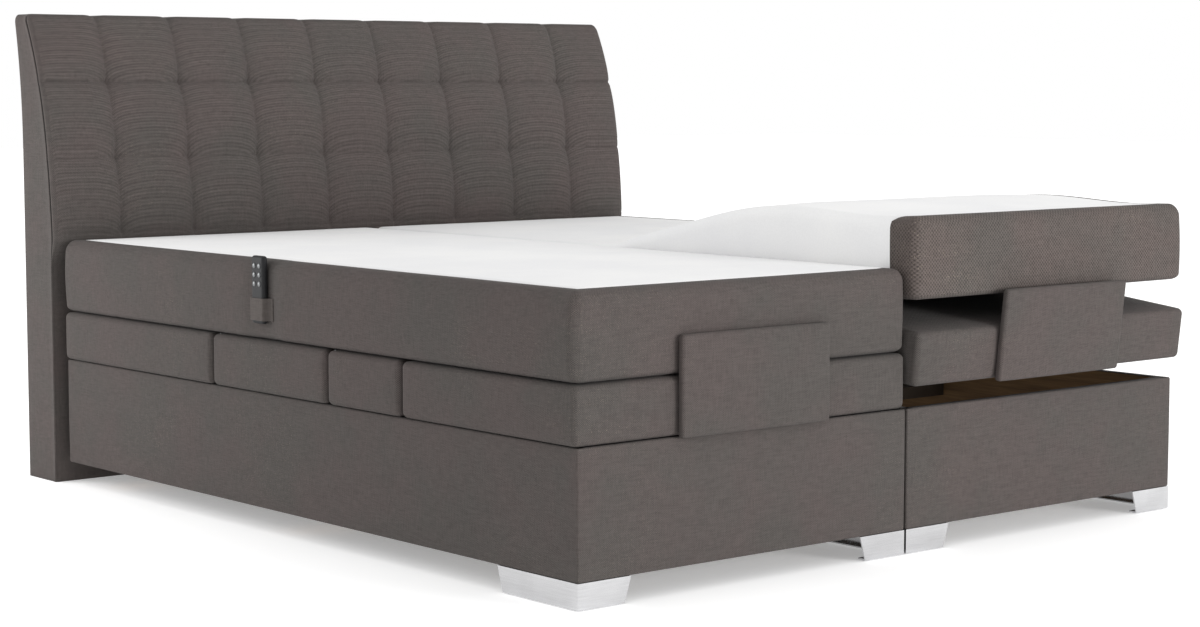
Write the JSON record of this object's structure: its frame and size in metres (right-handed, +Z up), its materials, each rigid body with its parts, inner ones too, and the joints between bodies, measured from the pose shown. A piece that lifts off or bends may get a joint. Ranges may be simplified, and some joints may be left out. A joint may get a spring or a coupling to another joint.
{
  "type": "adjustable bed",
  "caption": "Electrically adjustable double boxspring bed in taupe fabric: two independent halves with hinged back, thigh and calf sections, white-topped mattresses and a tufted headboard.",
  "frame": {"origin": "on the floor, at the centre of the whole bed seen from above", "axes": "+X across the bed to the right half, +Y from the foot end to the headboard, +Z up"},
  "size_m": [1.84, 2.2643, 1.17],
  "materials": {
    "upholstery": "taupe grey woven furnishing fabric, matt",
    "mattress_fabric": "white mattress ticking, matt",
    "wood": "raw brown board",
    "black_steel": "black powder coat",
    "zinc_steel": "zinc plated steel",
    "foot_metal": "bright satin metal",
    "black_plastic": "satin black plastic",
    "strap_elastic": "taupe woven band",
    "silver_key": "silver lacquered key"
  },
  "bodies": {
    "base": {"left_box_frame": "wood", "left_box_cover": "upholstery", "left_foot_outer": "foot_metal", "left_foot_inner": "foot_metal", "left_rear_leg_outer": "black_plastic", "left_rear_leg_inner": "black_plastic", "left_drive_frame": "black_steel", "left_drive_unit": "black_plastic", "left_section_seat": "upholstery", "left_hinge_back": "zinc_steel", "left_hinge_thigh": "zinc_steel", "left_mattress_seat": "mattress_fabric", "right_box_frame": "wood", "right_box_cover": "upholstery", "right_foot_outer": "foot_metal", "right_foot_inner": "foot_metal", "right_rear_leg_outer": "black_plastic", "right_rear_leg_inner": "black_plastic", "right_drive_frame": "black_steel", "right_drive_unit": "black_plastic", "right_section_seat": "upholstery", "right_hinge_back": "zinc_steel", "right_hinge_thigh": "zinc_steel", "right_mattress_seat": "mattress_fabric", "headboard_core": "wood", "headboard_upholstery": "upholstery", "headboard_bracket_left": "zinc_steel", "headboard_bracket_right": "zinc_steel", "handset_strap": "strap_elastic"},
    "left_back": {"left_section_back": "upholstery"},
    "left_thigh": {"left_section_thigh": "upholstery", "left_hinge_knee": "zinc_steel"},
    "left_calf": {"left_section_calf": "upholstery", "left_stop_bracket": "zinc_steel", "left_stop_panel": "upholstery"},
    "left_back_shaft": {"left_back_lift_shaft": "zinc_steel"},
    "left_leg_shaft": {"left_leg_lift_shaft": "zinc_steel"},
    "left_upper_mattress": {"left_mattress_back": "mattress_fabric"},
    "left_lap_mattress": {"left_mattress_thigh": "mattress_fabric"},
    "left_foot_mattress": {"left_mattress_leg": "mattress_fabric"},
    "right_back": {"right_section_back": "upholstery"},
    "right_thigh": {"right_section_thigh": "upholstery", "right_hinge_knee": "zinc_steel"},
    "right_calf": {"right_section_calf": "upholstery", "right_stop_bracket": "zinc_steel", "right_stop_panel": "upholstery"},
    "right_back_shaft": {"right_back_lift_shaft": "zinc_steel"},
    "right_leg_shaft": {"right_leg_lift_shaft": "zinc_steel"},
    "right_upper_mattress": {"right_mattress_back": "mattress_fabric"},
    "right_lap_mattress": {"right_mattress_thigh": "mattress_fabric"},
    "right_foot_mattress": {"right_mattress_leg": "mattress_fabric"},
    "handset": {"handset_shell": "black_plastic"},
    "key_1": {"handset_key_1": "silver_key"},
    "key_2": {"handset_key_2": "silver_key"},
    "key_3": {"handset_key_3": "silver_key"},
    "key_4": {"handset_key_4": "silver_key"},
    "key_5": {"handset_key_5": "silver_key"},
    "key_6": {"handset_key_6": "silver_key"}
  },
  "joints": [
    {"name": "left_back_hinge", "type": "hinge", "parent": "base", "child": "left_back", "pos_m": [-0.4515, 0.2315, 0.427], "axis": [1, 0, 0], "range_deg": [0, 60]},
    {"name": "left_thigh_hinge", "type": "hinge", "parent": "base", "child": "left_thigh", "pos_m": [-0.4515, -0.234, 0.427], "axis": [-1, 0, 0], "range_deg": [0, 35]},
    {"name": "left_knee_hinge", "type": "hinge", "parent": "left_thigh", "child": "left_calf", "pos_m": [-0.4515, -0.5055, 0.3156], "axis": [-1, 0, 0], "range_deg": [-45.42, 0]},
    {"name": "left_back_shaft_turn", "type": "hinge", "parent": "base", "child": "left_back_shaft", "pos_m": [-0.4515, 0.2315, 0.25], "axis": [1, 0, 0], "range_deg": [0, 42.05]},
    {"name": "left_leg_shaft_turn", "type": "hinge", "parent": "base", "child": "left_leg_shaft", "pos_m": [-0.4515, -0.234, 0.25], "axis": [-1, 0, 0], "range_deg": [0, 26.3]},
    {"name": "left_mattress_back_fold", "type": "hinge", "parent": "base", "child": "left_upper_mattress", "pos_m": [-0.4515, 0.1675, 0.52], "axis": [1, 0, 0], "range_deg": [0, 60.05]},
    {"name": "left_mattress_thigh_fold", "type": "hinge", "parent": "base", "child": "left_lap_mattress", "pos_m": [-0.4515, -0.0725, 0.6], "axis": [-1, 0, 0], "range_deg": [0, 21.05]},
    {"name": "left_mattress_knee_fold", "type": "hinge", "parent": "left_lap_mattress", "child": "left_foot_mattress", "pos_m": [-0.4515, -0.4765, 0.45], "axis": [-1, 0, 0], "range_deg": [-18.7, 0]},
    {"name": "right_back_hinge", "type": "hinge", "parent": "base", "child": "right_back", "pos_m": [0.4515, 0.2315, 0.427], "axis": [1, 0, 0], "range_deg": [0, 60]},
    {"name": "right_thigh_hinge", "type": "hinge", "parent": "base", "child": "right_thigh", "pos_m": [0.4515, -0.234, 0.427], "axis": [-1, 0, 0], "range_deg": [-21.6, 13.4]},
    {"name": "right_knee_hinge", "type": "hinge", "parent": "right_thigh", "child": "right_calf", "pos_m": [0.4515, -0.52744, 0.42337], "axis": [-1, 0, 0], "range_deg": [-17.42, 28.05]},
    {"name": "right_back_shaft_turn", "type": "hinge", "parent": "base", "child": "right_back_shaft", "pos_m": [0.4515, 0.2315, 0.25], "axis": [1, 0, 0], "range_deg": [0, 42.05]},
    {"name": "right_leg_shaft_turn", "type": "hinge", "parent": "base", "child": "right_leg_shaft", "pos_m": [0.4515, -0.234, 0.25], "axis": [-1, 0, 0], "range_deg": [-16.25, 10.1]},
    {"name": "right_mattress_back_fold", "type": "hinge", "parent": "base", "child": "right_upper_mattress", "pos_m": [0.4515, 0.1675, 0.52], "axis": [1, 0, 0], "range_deg": [0, 60.05]},
    {"name": "right_mattress_thigh_fold", "type": "hinge", "parent": "base", "child": "right_lap_mattress", "pos_m": [0.4515, -0.0725, 0.6], "axis": [-1, 0, 0], "range_deg": [-13.01, 8.09]},
    {"name": "right_mattress_knee_fold", "type": "hinge", "parent": "right_lap_mattress", "child": "right_foot_mattress", "pos_m": [0.4515, -0.49985, 0.54443], "axis": [-1, 0, 0], "range_deg": [-7.19, 11.56]},
    {"name": "handset_slide", "type": "slide", "parent": "base", "child": "handset", "axis": [0, 0, 1], "range_m": [0, 0.06]},
    {"name": "key_1_press", "type": "slide", "parent": "handset", "child": "key_1", "axis": [1, 0, 0], "range_m": [0, 0.001], "stiffness_N_per_m": 300, "springref_m": -0.0005},
    {"name": "key_2_press", "type": "slide", "parent": "handset", "child": "key_2", "axis": [1, 0, 0], "range_m": [0, 0.001], "stiffness_N_per_m": 300, "springref_m": -0.0005},
    {"name": "key_3_press", "type": "slide", "parent": "handset", "child": "key_3", "axis": [1, 0, 0], "range_m": [0, 0.001], "stiffness_N_per_m": 300, "springref_m": -0.0005},
    {"name": "key_4_press", "type": "slide", "parent": "handset", "child": "key_4", "axis": [1, 0, 0], "range_m": [0, 0.001], "stiffness_N_per_m": 300, "springref_m": -0.0005},
    {"name": "key_5_press", "type": "slide", "parent": "handset", "child": "key_5", "axis": [1, 0, 0], "range_m": [0, 0.001], "stiffness_N_per_m": 300, "springref_m": -0.0005},
    {"name": "key_6_press", "type": "slide", "parent": "handset", "child": "key_6", "axis": [1, 0, 0], "range_m": [0, 0.001], "stiffness_N_per_m": 300, "springref_m": -0.0005}
  ],
  "couplings": [
    {"joint": "left_knee_hinge", "follows": "left_thigh_hinge", "ratio": -1.2963},
    {"joint": "left_leg_shaft_turn", "follows": "left_thigh_hinge", "ratio": 0.75},
    {"joint": "left_mattress_thigh_fold", "follows": "left_thigh_hinge", "ratio": 0.6},
    {"joint": "left_mattress_knee_fold", "follows": "left_thigh_hinge", "ratio": -0.533},
    {"joint": "left_back_shaft_turn", "follows": "left_back_hinge", "ratio": 0.7},
    {"joint": "left_mattress_back_fold", "follows": "left_back_hinge", "ratio": 1},
    {"joint": "right_knee_hinge", "follows": "right_thigh_hinge", "ratio": -1.2963},
    {"joint": "right_leg_shaft_turn", "follows": "right_thigh_hinge", "ratio": 0.75},
    {"joint": "right_mattress_thigh_fold", "follows": "right_thigh_hinge", "ratio": 0.6},
    {"joint": "right_mattress_knee_fold", "follows": "right_thigh_hinge", "ratio": -0.533},
    {"joint": "right_back_shaft_turn", "follows": "right_back_hinge", "ratio": 0.7},
    {"joint": "right_mattress_back_fold", "follows": "right_back_hinge", "ratio": 1}
  ]
}
